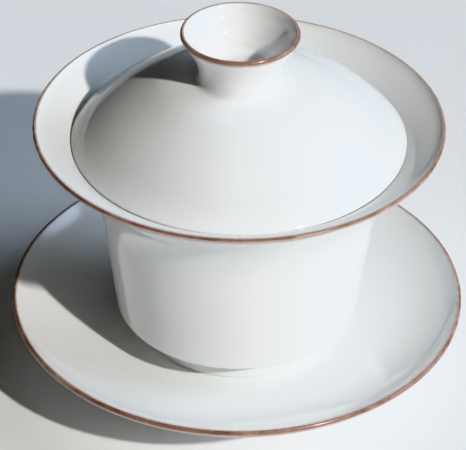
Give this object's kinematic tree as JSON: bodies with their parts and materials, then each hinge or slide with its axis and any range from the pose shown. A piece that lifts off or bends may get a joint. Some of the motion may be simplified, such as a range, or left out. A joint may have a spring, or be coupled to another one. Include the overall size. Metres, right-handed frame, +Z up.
{
  "type": "gaiwan",
  "caption": "Lidded porcelain tea bowl with a flared mouth, a domed lid with a ring knob and a shallow saucer.",
  "frame": {"origin": "on the axis of the set, on the table under the saucer's foot ring", "axes": "+Z up along the common axis of saucer, bowl and lid; the set is round, so X and Y are free"},
  "size_m": [0.1152, 0.1152, 0.0948],
  "materials": {
    "saucer_glaze": "gloss",
    "bowl_glaze": "gloss",
    "lid_glaze": "gloss",
    "iron_lip": "satin"
  },
  "bodies": {
    "saucer": {"saucer": "saucer_glaze", "saucer_rim": "iron_lip"},
    "bowl": {"bowl": "bowl_glaze", "bowl_rim": "iron_lip"},
    "lid": {"lid": "lid_glaze", "lid_knob": "lid_glaze", "knob_rim": "iron_lip"}
  },
  "joints": [
    {"name": "bowl_lift", "type": "slide", "parent": "saucer", "child": "bowl", "axis": [0, 0, 1], "range_m": [0, 0.06]},
    {"name": "lid_lift", "type": "slide", "parent": "bowl", "child": "lid", "axis": [0, 0, 1], "range_m": [0, 0.06]}
  ]
}
